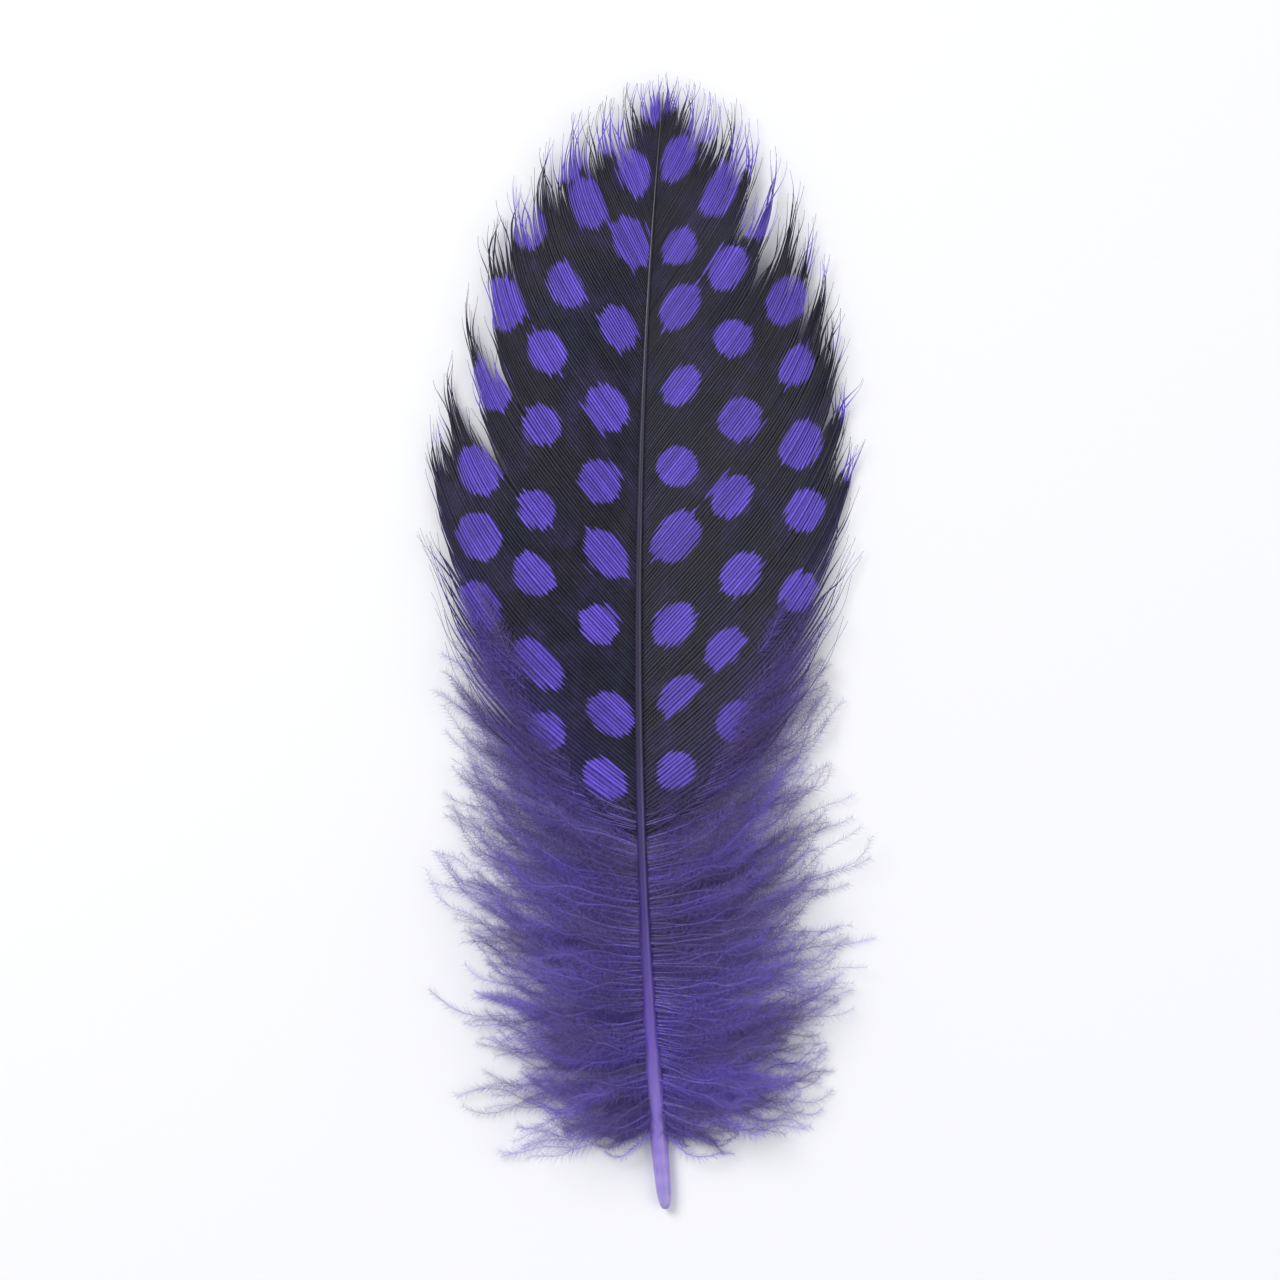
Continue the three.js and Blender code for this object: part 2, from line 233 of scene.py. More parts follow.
def horn():
    """Keratin horn of the shaft, grown smooth: it gives a soft polish. The hollow quill is
    translucent with pale cross bands of dried pith, dyed violet. Fine grain runs along."""
    material, tree, out, mark = new_finish("dyed_shaft_horn", "along")
    shade = add(tree, "ValToRGB", Fac=mark["along"])
    stops = shade.color_ramp.elements
    stops[0].color, stops[1].color = linear("#a594d6"), linear("#19161f")
    for share, code in ((0.075, "#8f79cc"), (0.15, "#6c55b0"), (0.26, "#44347c"), (0.42, "#2a2342")):
        stops.new(share).color = linear(code)
    # The grain is 0.2 mm across and 5 mm along. The bands of pith are 2.3 mm apart.
    place = add(tree, "TexCoord").outputs["Object"]
    stretched = add(tree, "Mapping", Vector=place, Scale=(5200, 190, 5200))
    grain = add(tree, "TexNoise", Vector=stretched, Scale=1.0, Detail=3.0)
    grained = add(tree, "Mix", {"data_type": "RGBA", "blend_type": "OVERLAY"},
                  _0=0.35, _6=shade, _7=grain.outputs["Color"])
    banding = add(tree, "TexWave", {"bands_direction": "Y"}, Vector=place, Scale=135.0, Distortion=2.0)
    band = add(tree, "MapRange", Value=mark["along"], From_Min=0.05, From_Max=0.1, To_Min=0.1, To_Max=0.0)
    banded = add(tree, "Mix", {"data_type": "RGBA", "blend_type": "SOFT_LIGHT"},
                 _0=band, _6=grained, _7=banding)
    bump = add(tree, "Bump", Strength=0.25, Distance=0.00006, Height=grain)
    surface = add(tree, "BsdfPrincipled", Base_Color=banded, Roughness=0.32, IOR=1.54,
                  Subsurface_Weight=0.25, Subsurface_Scale=0.0006, Normal=bump)
    tree.links.new(surface.outputs[0], out.inputs[0])
    return material


ring, distance = shaft_rings()
surface_piece("shaft", horn(), *joined_rings(ring, *lanes(1, 1)), {"along": distance / FEATHER_LENGTH})

# Vanes
# Two flat webs, one each side of the shaft, of parallel barbs 0.5 mm apart. Each barb is
# a stiff ridge with hooked barbules that zip it to the next, and its end is a free hair.
# The bird's web is black with pale spots, which the dye has turned violet.
VANE_HALF_WIDTH = 0.0265
VANE_FIRST_BARB, VANE_LAST_BARB = 0.044, 0.128
VANE_LOWEST_TIP = 0.069
VANE_LAST_TIP = 1.56
TIP_CROWDING = 0.65
BARB_LEAVES, BARB_ENDS = 1.42, (0.44, -1.16)
BARB_HANDLE = 0.38
MARGIN_HEIGHT, LOWEST_BARB, RIM_EASE = 0.00015, 0.00008, 0.02
BARBS, BARB_STEPS = 170, 46


def scatter(k):
    """An even scatter of numbers between 0 and 1: the fraction of k golden sections."""
    return (k * 0.618034 + 0.37) % 1


def swing(turns):
    """A sine wave after so many whole turns."""
    return np.sin(2 * np.pi * turns)


def unit(vectors):
    """Vectors made one long."""
    return vectors / np.linalg.norm(vectors, axis=-1, keepdims=True)


def vane_height(across, y):
    """The web's height over a point: a dome that falls with the square of the distance
    from the shaft and of the distance past the widest point, its rim eased onto the floor."""
    over = arch_share(y) - (across / VANE_HALF_WIDTH) ** 2
    return MARGIN_HEIGHT + ARCH_HEIGHT * (over + np.sqrt(over * over + RIM_EASE)) / 2


def barb_plan(u, t, side):
    """A point t of the way along barb u in plan: a cubic curve from the shaft to the
    feather's elliptical outline. Roots are evenly spaced, and tips draw together towards
    the feather's tip. A barb leaves at a wider slant than the straight line to its tip,
    and ends steeper than that line, or turned inwards in the upper vane."""
    spread = FEATHER_LENGTH - VANE_WIDEST_AT
    lowest = np.arcsin((VANE_LOWEST_TIP - VANE_WIDEST_AT) / spread)
    turn = between(lowest, VANE_LAST_TIP, u**TIP_CROWDING)
    root = np.stack([0 * u, between(VANE_FIRST_BARB, VANE_LAST_BARB, u)], -1)
    tip = np.stack([side * VANE_HALF_WIDTH * np.cos(turn), VANE_WIDEST_AT + spread * np.sin(turn)], -1)
    straight = np.arctan2(np.abs(tip[..., 0]), tip[..., 1] - root[..., 1])
    leaves, ends = BARB_LEAVES * straight, between(*BARB_ENDS, u) * straight
    handle = BARB_HANDLE * np.linalg.norm(tip - root, axis=-1, keepdims=True)
    near = root + handle * np.stack([side * np.sin(leaves), np.cos(leaves)], -1)
    far = tip - handle * np.stack([side * np.sin(ends), np.cos(ends)], -1)
    t = t[..., None]
    return (1 - t) ** 3 * root + 3 * (1 - t) ** 2 * t * near + 3 * (1 - t) * t * t * far + t**3 * tip


# The web gathers into pointed locks, and its hair ends into small tufts. For each side, how
# many there are, then how far out they open and how far their barbs are drawn together.
# Some partings between locks are deep splits.
LOCKS, TUFTS = {-1: 10.5, 1: 12.5}, {-1: 36, 1: 41}
LOCK_OPENS, SPLIT_OPENS, TUFT_OPENS = 0.62, 0.34, 0.5
LOCK_DRAWN, SPLIT_DRAWN, TUFT_DRAWN = 0.42, 0.6, 0.4
LOCK_CLOSES, TUFT_CLOSES = 1.08, 1.0
PARTING_DEPTH, SPLIT_DEPTH, SPLIT_SHARE = (0.07, 0.13), 0.27, 0.28
LOCK_UNEVENNESS, TUFT_UNEVENNESS, TUFT_WAVES = 0.05, 0.3, 5.3


def lock_reach(u, side):
    """How far along their barbs the pointed locks of the margin reach: less, the nearer a
    parting is. With it comes whether the web has split at the nearest parting."""
    turns = u * LOCKS[side]
    parting = np.round(turns)
    nearness = np.maximum(0, 1 - 2 * np.abs(turns - parting))
    k = 3 * parting + (side > 0)
    split = (scatter(k) > 1 - SPLIT_SHARE) & (parting > 1) & (parting < LOCKS[side] - 2)
    depth = np.where(split, SPLIT_DEPTH, between(*PARTING_DEPTH, scatter(k + 1)))
    return 1 - LOCK_UNEVENNESS * scatter(np.floor(turns) + 7) - depth * nearness, split


def drawn_together(root, t, split, side):
    """Which barb's curve each point follows: its own at the shaft, then by a smooth step
    more that of its lock's middle, sooner beside a split, and of its tuft's middle. Tufts
    are unevenly wide: their count along the vane has a slow wave in it."""
    lock_middle = (np.floor(root * LOCKS[side]) + 0.5) / LOCKS[side]
    opened = smooth(np.where(split, SPLIT_OPENS, LOCK_OPENS), LOCK_CLOSES, t)
    u = root + (lock_middle - root) * opened * np.where(split, SPLIT_DRAWN, LOCK_DRAWN)
    count = root * TUFTS[side] + TUFT_UNEVENNESS * np.sin(2 * np.pi * root * TUFT_WAVES + side)
    tuft_middle = root + (np.floor(count) + 0.5 - count) / TUFTS[side]
    return u + (tuft_middle - root) * smooth(TUFT_OPENS, TUFT_CLOSES, t) * TUFT_DRAWN


# A barb's free end at the vane's foot and tip, the most of a barb that it takes, and what
# share of it is loose in the lowest barbs, which span this share of the vane
FREE_END, FREE_MOST, FREE_SPREAD = (0.0045, 0.009), 0.5, (0.8, 1.25)
LOOSE_FOOT, LOOSE_BELOW = 0.62, 0.13


def free_ends(root, length, chance):
    """How long each barb's free end is: longer the higher up the barb is rooted, each a
    little uneven, and by a smooth step most of the barb for those at the vane's foot."""
    own = np.minimum(between(*FREE_END, root), FREE_MOST * length)
    own = own * chance.uniform(*FREE_SPREAD, (BARBS, 1))
    return between(own, LOOSE_FOOT * length, 1 - smooth(0, LOOSE_BELOW, root))


# A barb in cross-section: how far the web reaches at most, how far it overlaps the next,
# how much lower one of its edges lies, the ridge on the hair and on the web, the slopes'
# place and height and the keel as shares of these, and the hair
WEB_MOST, WEB_OVERLAP, WEB_TILT = 0.00033, 1.24, 0.000026
BARB_RIDGE, RIDGE_SPREAD = (0.00003, 0.00006), (0.55, 1.25)
SLOPE_AT, SLOPE_HEIGHT, KEEL = 0.3, 0.25, 1.1
HAIR_RADIUS, HAIR_THINS = 0.00005, 0.62


def web_halves(plan, right, side):
    """How far the web reaches to the left and right of each point: half of the gap to the
    next barb, measured square to the barb, but at most WEB_MOST."""
    half = np.abs(np.einsum("ijk,ijk->ij", np.diff(plan, axis=0), right[1:])) / 2
    before = np.minimum(np.vstack([half[:1], half]), WEB_MOST)
    after = np.minimum(np.vstack([half, half[-1:]]), WEB_MOST)
    return (before, after) if side < 0 else (after, before)


def barb_section(halves, web, looseness, side, chance):
    """Places to the right and heights of the six points round each ring: left edge, left
    slope, ridge, right slope, right edge and keel. The web is as wide as its share says, and
    is tilted so that it meets its neighbours like a roof tile. Without web it is a hair."""
    hair = HAIR_RADIUS * (1 - HAIR_THINS * looseness)
    left, right = (between(hair, half * WEB_OVERLAP, web) for half in halves)
    tilt = -side * WEB_TILT * web
    ridge = between(*BARB_RIDGE, web) * chance.uniform(*RIDGE_SPREAD, (BARBS, 1))
    slope = SLOPE_HEIGHT * ridge
    sideways = np.stack([-left, -SLOPE_AT * left, 0 * left, SLOPE_AT * right, right, 0 * left], -1)
    return sideways, np.stack([-tilt, slope, ridge, slope + tilt, tilt, -KEEL * ridge], -1)


# How unevenly barbs lie, how far their ends wave and lift, and the two swells of the web:
# how high each is, between which shares of a barb it grows, and how many waves the slow one
# has along the vane and along a barb
BARB_UNEVENNESS, END_WAVE, END_LIFT = 0.000012, 0.00004, 0.0007
LOCK_SWELL, LOCK_SWELL_GROWS = 0.00024, (0.2, 0.9)
SLOW_SWELL, SLOW_SWELL_GROWS, SLOW_WAVES = 0.0002, (0.1, 0.5), (3.1, 1.4)


def barb_lift(root, t, wave, looseness, side, chance):
    """How far each point lies above the smooth dome: each barb by its own small step, its
    free end by its wave and by the square of its looseness, and the web by two sine waves
    along the vane, one as long as a lock and one slanted and slow."""
    lift = chance.normal(0, BARB_UNEVENNESS, (BARBS, 1)) + END_WAVE * wave * looseness
    lift = lift + np.abs(chance.normal(0, END_LIFT, (BARBS, 1))) * looseness**2
    lock_swell = swing(root * LOCKS[side] + 0.3) * smooth(*LOCK_SWELL_GROWS, t)
    slow_swell = swing(root * SLOW_WAVES[0] + SLOW_WAVES[1] * t + 0.2 * side)
    slow_swell = slow_swell * smooth(*SLOW_SWELL_GROWS, t)
    return lift + LOCK_SWELL * lock_swell + SLOW_SWELL * slow_swell


# Spots in columns along the shaft and rows that drop outwards. SPOT_SIZES and SPOT_ASTRAY
# say how much widths and lengths vary, and how far middles stray across and along.
FIRST_SPOT = (0.0045, 0.0505)
SPOT_COLUMNS, SPOT_ROWS = 4, 12
SPOT_COLUMNS_APART, SPOT_ROWS_APART = 0.0073, 0.009
SPOT_ROW_DROP, SPOT_STAGGER = 0.0034, 0.0018
SPOT_HALF_WIDTH, SPOT_HALF_LENGTH = 0.0022, 0.00295
SPOT_SIZES, SPOT_ASTRAY, SPOT_ROUNDNESS = (0.09, 0.13), (0.00055, 0.00065), 2.1
SPOT_EDGE_UNEVENNESS, SPOT_STREAK, STREAK_LIMITS = 0.00009, 0.0004, (-0.9, 2)
# The most that a spot's size may vary, and how spots narrow towards the feather's tip: up to
# what share of the way, by what power their columns draw in, and how slim a spot can get
SPOT_VARIES_MOST, SPOTS_NARROW_TO, COLUMNS_DRAW_IN, SLIMMEST_SPOT = 1.6, 0.985, 1.1, 0.62


def spot_depth(plan, tangent, side, chance):
    """How deep a point lies inside the nearest spot, in metres, negative outside. The
    spots' middles are a slanted grid that narrows with the outline towards the tip, each
    middle a little astray. A spot is a rounded lozenge drawn out along the barbs."""
    column, row = np.meshgrid(np.arange(SPOT_COLUMNS), np.arange(SPOT_ROWS) - 1, indexing="ij")
    astray = chance.normal(0, 1, (2, *column.shape))
    varied = np.clip(chance.normal(0, 1, (2, *column.shape)), -SPOT_VARIES_MOST, SPOT_VARIES_MOST)
    y = FIRST_SPOT[1] + SPOT_ROWS_APART * row - SPOT_ROW_DROP * column + SPOT_ASTRAY[1] * astray[0]
    y = y + SPOT_STAGGER * (side > 0)
    past = np.minimum(ramp(VANE_WIDEST_AT, FEATHER_LENGTH, y), SPOTS_NARROW_TO)
    narrowing = np.sqrt(1 - past**2)
    x = (FIRST_SPOT[0] + SPOT_COLUMNS_APART * column) * narrowing**COLUMNS_DRAW_IN
    x = x + SPOT_ASTRAY[0] * astray[1]
    half_width = SPOT_HALF_WIDTH * (1 + SPOT_SIZES[0] * varied[0]) * between(SLIMMEST_SPOT, 1, narrowing)
    half_length = SPOT_HALF_LENGTH * (1 + SPOT_SIZES[1] * varied[1])
    away = np.stack([side * plan[..., 0, None, None] - x, plan[..., 1, None, None] - y], -1)
    t = np.stack([side * tangent[..., 0], tangent[..., 1]], -1)[..., None, None, :]
    forward = np.abs(away[..., 0] * t[..., 0] + away[..., 1] * t[..., 1]) / half_length
    sideways = np.abs(away[..., 0] * t[..., 1] - away[..., 1] * t[..., 0]) / half_width
    reach = (forward**SPOT_ROUNDNESS + sideways**SPOT_ROUNDNESS) ** (1 / SPOT_ROUNDNESS)
    return ((1 - reach) * half_width).max((-2, -1))


# The ridge's share at the six points of a ring, which of them is the keel, how far back the
# barbules' slant sets their pattern at the web's edge in millimetres, and the share of the
# vane whose barbs count as its foot
# The ridge's share also sets the painted highlight that lightens each barb's ridge and keel.
ON_RIDGE, KEEL_POINT = np.array([0.0, 0.3, 1.0, 0.3, 0.0, 0.8]), np.array([0.0, 0, 0, 0, 0, 1])
SLANT_MM, LOW_BELOW = 0.34, 0.16


def vane_marks(depth, web, looseness, t, root, gone, chance):
    """Numbers for each ring point: how deep in a spot it lies in millimetres, whether it is
    on the ridge, how loose the barb is there, how far along it is, how many millimetres
    along its barbules' slant, whether it is on the underside, the barb's own tone, and
    whether it is a foot barb."""
    marks = {
        "spot": depth[..., None] * 1000,
        "ridge": np.maximum(ON_RIDGE, (1 - web)[..., None]),
        "loose": looseness[..., None],
        "out": t[..., None],
        "slant": gone[..., None] * 1000 - SLANT_MM * (1 - ON_RIDGE),
        "under": KEEL_POINT,
        "tone": chance.random((BARBS, 1, 1)),
        "low": 1 - smooth(0, LOW_BELOW, root)[..., None],
    }
    return {mark: np.broadcast_to(values, (*depth.shape, 6)) for mark, values in marks.items()}


# How uneven the barbs' roots and lengths are, between which shares of the vane roots stay,
# the web's first step down where it ends, the barbs' waves and how they grow on a free end,
# how far an end strays, and how far out the web keeps to the shaft's height
ROOT_STRAY, ROOT_LIMITS, BARB_SHORTER = 0.22, (0.001, 0.999), 0.07
WEB_BREAKS, BREAK_SPAN, FRAY_SPAN = 0.45, (-0.001, 0.0014), (0, 0.8)
WAVE_LENGTHS, WAVE_SIZE, WAVE_GROWS, END_STRAY = (0.007, 0.016), 0.00009, (0.3, 2.5), 0.0007
SEATED_OUT_TO = 0.10


def vane_rings(side, chance):
    """Rings round every barb of one vane, with the marks of their points. Roots are spread
    evenly along the shaft, each a little off. Where the web ends, it goes over into the
    hair in two smooth steps. A barb waves by a sine of the distance along it, and its free
    end strays sideways with the square of its looseness. Near the shaft, the dome is
    raised or lowered to meet the shaft's middle."""
    root = (np.arange(BARBS)[:, None] + 0.5) / BARBS
    root = np.clip(root + chance.uniform(-ROOT_STRAY, ROOT_STRAY, (BARBS, 1)) / BARBS, *ROOT_LIMITS)
    reach, split = lock_reach(root, side)
    t = np.linspace(0, 1, BARB_STEPS) * (reach * (1 - BARB_SHORTER * chance.random((BARBS, 1)) ** 2))
    plan = barb_plan(drawn_together(root, t, split, side), t, side)
    length = np.linalg.norm(np.diff(plan, axis=1), axis=-1).sum(1)[:, None]
    gone = np.linspace(0, 1, BARB_STEPS) * length
    free = free_ends(root, length, chance)
    past_web = gone - length + free
    looseness = smooth(0, 1, past_web / free)
    broken, frayed = smooth(*BREAK_SPAN, past_web), smooth(*FRAY_SPAN, past_web / free)
    web = 1 - WEB_BREAKS * broken - (1 - WEB_BREAKS) * frayed

    tangent = unit(np.gradient(plan, axis=1))
    right = np.stack([tangent[..., 1], -tangent[..., 0]], -1)
    wave = swing(gone / chance.uniform(*WAVE_LENGTHS, (BARBS, 1)) + chance.random((BARBS, 1)))
    stray = chance.normal(0, END_STRAY, (BARBS, 1)) * looseness**2
    stray = stray + WAVE_SIZE * wave * between(*WAVE_GROWS, looseness)
    plan = plan + right * stray[..., None]
    sideways, height = barb_section(web_halves(plan, right, side), web, looseness, side, chance)
    ring = plan[:, :, None, :] + sideways[..., None] * right[:, :, None, :]
    x, y = ring[..., 0], ring[..., 1]
    seat = (shaft_height(y) - vane_height(0, y)) * (1 - smooth(0, SEATED_OUT_TO, t))[..., None]
    lift = barb_lift(root, t, wave, looseness, side, chance)[..., None]
    z = np.maximum(vane_height(x, y) + seat + lift, LOWEST_BARB) + height

    # Some barbs carry a spot's colour further than others, and a few of them much further.
    uneven = np.clip(chance.normal(0, 1, (BARBS, 1)), *STREAK_LIMITS)
    uneven = uneven * (SPOT_EDGE_UNEVENNESS + SPOT_STREAK * chance.random((BARBS, 1)) ** 4)
    depth = spot_depth(plan, tangent, side, chance) + uneven
    marks = vane_marks(depth, web, looseness, t, root, gone, chance)
    return np.stack([x + bow(y), y, z], -1), marks


def web_keratin():
    """Barbs of dyed feather: fine stiff fibres with a silky gloss along them. The ridges
    are painted lighter than the web between them, in the violet spots and in the black
    alike, as a painted highlight along each barb, and the underside is duller."""
    material, tree, out, mark = new_finish(
        "dyed_feather_web", "spot", "ridge", "loose", "out", "slant", "under", "tone", "low")
    place = add(tree, "TexCoord").outputs["Object"]
    colours, product, scaled = {"data_type": "RGBA"}, {"operation": "MULTIPLY"}, {"operation": "SCALE"}
    # Clouds 2.4 mm wide roughen the spots' edges and mottle the black.
    cloud = add(tree, "TexNoise", Vector=place, Scale=420.0, Detail=3.0)
    # A ridge keeps its spot's colour a little further than its web: the edges are combed.
    scaled_sum = {"operation": "MULTIPLY_ADD"}
    combed = add(tree, "Math", scaled_sum, _0=mark["ridge"], _1=0.36, _2=mark["spot"])
    ragged = add(tree, "Math", scaled_sum, _0=cloud, _1=0.5, _2=combed)
    inside = add(tree, "MapRange", {"interpolation_type": "SMOOTHSTEP"},
                 Value=ragged, From_Min=0.34, From_Max=0.54)
    # Flecks run along each barb, 1 to 2 mm long, and differ from barb to barb.
    number = add(tree, "Math", product, _0=mark["tone"], _1=900.0)
    on_barb = add(tree, "CombineXYZ", X=number, Y=mark["slant"])
    fleck = add(tree, "TexNoise", Vector=on_barb, Scale=0.9, Detail=4.0, Roughness=0.7)
    tone = add(tree, "MapRange", Value=mark["tone"], To_Min=0.8, To_Max=1.2)
    # Real barbules are 0.03 mm apart. They are drawn 0.36 mm apart, so that they show.
    turns = add(tree, "Math", product, _0=mark["slant"], _1=2 * np.pi / 0.36)
    barbule = add(tree, "Math", {"operation": "SINE"}, _0=turns)
    weave = add(tree, "MapRange", Value=barbule, From_Min=-1.0, To_Min=0.9, To_Max=1.1)
    woven = add(tree, "Math", product, _0=tone, _1=weave)

    # Black of the bird, here bluish, there brownish in patches 8 mm wide, with a violet cast
    # from the dye in patches of 5 mm
    patch = add(tree, "TexNoise", Vector=place, Scale=130.0, Detail=2.0)
    browner = add(tree, "MapRange", Value=patch, From_Min=0.42, From_Max=0.6)
    web = add(tree, "Mix", colours, _0=browner, _6=linear("#121326"), _7=linear("#191521"))
    # The ridges' colour, lighter than the web's, is a painted highlight along each barb.
    highlit_rib = add(tree, "Mix", colours, _0=browner, _6=linear("#1d1f31"), _7=linear("#25212d"))
    black = add(tree, "Mix", colours, _0=mark["ridge"], _6=web, _7=highlit_rib)
    cast = add(tree, "TexNoise", Vector=place, Scale=210.0, Detail=3.0, Lacunarity=2.3)
    dyed = add(tree, "MapRange", Value=cast, From_Min=0.5, From_Max=0.66, To_Max=0.8)
    black = add(tree, "Mix", colours, _0=dyed, _6=black, _7=linear("#272040"))
    depth = add(tree, "MapRange", Value=fleck, From_Min=0.3, From_Max=0.7, To_Min=0.58, To_Max=1.5)
    mottle = add(tree, "MapRange", Value=cloud, From_Min=0.4, From_Max=0.6, To_Min=0.84, To_Max=1.2)
    depth = add(tree, "Math", product, _0=depth, _1=mottle)
    black = add(tree, "VectorMath", scaled, _0=black, Scale=depth)
    ends = add(tree, "MapRange", Value=mark["loose"], To_Max=0.6)
    black = add(tree, "Mix", colours, _0=ends, _6=black, _7=linear("#3a2d66"))

    # White of the bird, which the dye turns violet all through, with flecks along the barbs, and painted
    # shade and gloss that darken some spots and lighten others in patches about 8 mm wide
    # Each barb's ridge is painted lighter than its web: a painted highlight.
    violet = add(tree, "Mix", colours, _0=mark["ridge"], _6=linear("#4731a4"), _7=linear("#7761d2"))
    depth = add(tree, "MapRange", Value=fleck, From_Min=0.3, From_Max=0.7, To_Min=0.82, To_Max=1.2)
    # Painted shade and gloss: patches that make some spots darker and others lighter.
    patchy_shade_and_gloss = add(tree, "MapRange", Value=patch, From_Min=0.3, From_Max=0.7, To_Min=1.12, To_Max=0.84)
    depth = add(tree, "Math", product, _0=depth, _1=patchy_shade_and_gloss)
    violet = add(tree, "VectorMath", scaled, _0=violet, Scale=depth)
    spotted = add(tree, "Mix", colours, _0=inside, _6=black, _7=violet)

    # Loose foot barbs, which hold no black
    depth = add(tree, "MapRange", Value=fleck, From_Min=0.3, From_Max=0.7, To_Min=0.6, To_Max=1.5)
    loose = add(tree, "VectorMath", scaled, _0=linear("#47388a")[:3], Scale=depth)
    foot = add(tree, "Math", product, _0=mark["low"], _1=mark["out"])
    downy = add(tree, "Mix", colours, _0=foot, _6=spotted, _7=loose)
    coloured = add(tree, "VectorMath", scaled, _0=downy, Scale=woven)
    below = add(tree, "MapRange", Value=mark["under"], To_Max=0.3)
    duller = add(tree, "Mix", colours, _0=below, _6=coloured, _7=linear("#6a6680"))

    rough = add(tree, "MapRange", Value=cloud, From_Min=0.3, From_Max=0.7, To_Min=0.38, To_Max=0.54)
    bump = add(tree, "Bump", Strength=0.3, Distance=0.00003, Height=barbule)
    surface = add(tree, "BsdfPrincipled", Base_Color=duller, Roughness=rough,
                  IOR=1.54, Specular_IOR_Level=0.3, Sheen_Weight=0.1, Sheen_Roughness=0.4,
                  Sheen_Tint=linear("#b9b0ff"), Normal=bump)
    tree.links.new(surface.outputs[0], out.inputs[0])
    return material


WEB = web_keratin()
for side, name in ((-1, "vane_left"), (1, "vane_right")):
    ring, marks = vane_rings(side, np.random.default_rng(40 + side))
    surface_piece(name, WEB, *joined_rings(ring, *lanes(BARBS, BARBS // 2)), marks)

# Down
# Limp barbs at the foot of the vane whose barbules carry no hooks: each barb is a soft
# thread and its barbules stand out round it, so that tufts of them hold air. They leave
# the shaft in two layers, one along the table and one above, and dye to a deep violet.
DOWN_STATIONS, DOWN_STATIONS_ABOVE = 10, 8
DOWN_SPAN, DOWN_ABOVE_SPAN = (0.015, 0.0265), 0.84
DOWN_SPAN_GROWS, DOWN_SPAN_VARIES, DOWN_LEANS_VARY = 0.6, (0.92, 1.05), (9, 12)
DOWN_FIRST_ROOT, DOWN_LAST_ROOT, DOWN_ABOVE_STEP = 0.011, 0.049, 0.0012
DOWN_LEAN_OUT, DOWN_LEAN_END = (110, 70), (80, 33)
DOWN_LYING = (0.0011, 0.0006)
DOWN_ABOVE_RISE, DOWN_ABOVE_SINKS, DOWN_SINKS_BETWEEN = 0.0034, 0.45, (0.3, 0.8)
DOWN_ABOVE_PEAK, DOWN_ABOVE_TIP = (0.0068, 0.0088), (0.0026, 0.0056)
LOCK_HANDLES = (0.38, 0.36)


def down_locks(side):
    """The locks of down on one side, those along the table before those above: where each
    leaves the shaft, how long it is, at what leans it starts and ends, the heights of its
    curve's four points, and its share of the way to the vane. Those above stand lower the
    nearer they are to the vane."""
    station = np.concatenate([np.arange(DOWN_STATIONS), np.arange(DOWN_STATIONS_ABOVE)])
    layer = np.repeat([0, 1], [DOWN_STATIONS, DOWN_STATIONS_ABOVE])
    share = (station + 0.5) / DOWN_STATIONS
    k = 4 * station + 2 * layer + (side > 0)
    root = between(DOWN_FIRST_ROOT, DOWN_LAST_ROOT, share) + DOWN_ABOVE_STEP * layer
    fullest = between(*DOWN_SPAN, np.sin(np.pi / 2 * share**DOWN_SPAN_GROWS))
    span = fullest * np.where(layer == 0, 1, DOWN_ABOVE_SPAN) * between(*DOWN_SPAN_VARIES, scatter(k))
    lean_out = np.radians(between(*DOWN_LEAN_OUT, share) + DOWN_LEANS_VARY[0] * (scatter(k + 5) - 0.5))
    lean_end = np.radians(between(*DOWN_LEAN_END, share) + DOWN_LEANS_VARY[1] * (scatter(k + 9) - 0.5))
    high = shaft_height(root)
    lying = np.stack([high, high / 2, 0 * high + DOWN_LYING[0], 0 * high + DOWN_LYING[1]], -1)
    kept = 1 - DOWN_ABOVE_SINKS * smooth(*DOWN_SINKS_BETWEEN, share)
    peak = kept * between(*DOWN_ABOVE_PEAK, scatter(k + 3))
    tip = kept * between(*DOWN_ABOVE_TIP, scatter(k + 7))
    standing = np.stack([high, high + kept * DOWN_ABOVE_RISE, peak, tip], -1)
    return root, span, lean_out, lean_end, np.where(layer[:, None] == 0, lying, standing), share


def lock_line(root, span, lean_out, lean_end, heights, side, t):
    """A point t of the way along each lock's middle line: a cubic curve that leaves the
    shaft at one lean and ends at another, with the shaft's sideways bow added. Leans are
    angles from the feather's length."""
    def heading(lean):
        return np.stack([side * np.sin(lean), np.cos(lean)], -1)

    start = np.stack([0 * root, root], -1)
    end = start + span[:, None] * heading((lean_out + lean_end) / 2)
    near = start + LOCK_HANDLES[0] * span[:, None] * heading(lean_out)
    far = end - LOCK_HANDLES[1] * span[:, None] * heading(lean_end)
    plan = np.stack([start, near, far, end], 1)
    knots = np.stack([plan[..., 0] + bow(plan[..., 1]), plan[..., 1], heights], -1)
    weights = np.stack([(1 - t) ** 3, 3 * (1 - t) ** 2 * t, 3 * (1 - t) * t * t, t**3], -1)
    return weights @ knots[:, None]


def headings(line):
    """The directions ahead, to the right and upwards at each point of each line."""
    ahead = unit(np.gradient(line, axis=-2))
    right = unit(np.cross(ahead, (0.0, 0.0, 1.0)))
    return ahead, right, np.cross(right, ahead)


TABLE_CLEARANCE = 0.00006


def above_table(points):
    """Points that would pass through the table turned back up above it."""
    z = TABLE_CLEARANCE + np.abs(points[..., 2] - TABLE_CLEARANCE)
    return np.concatenate([points[..., :2], z[..., None]], -1)


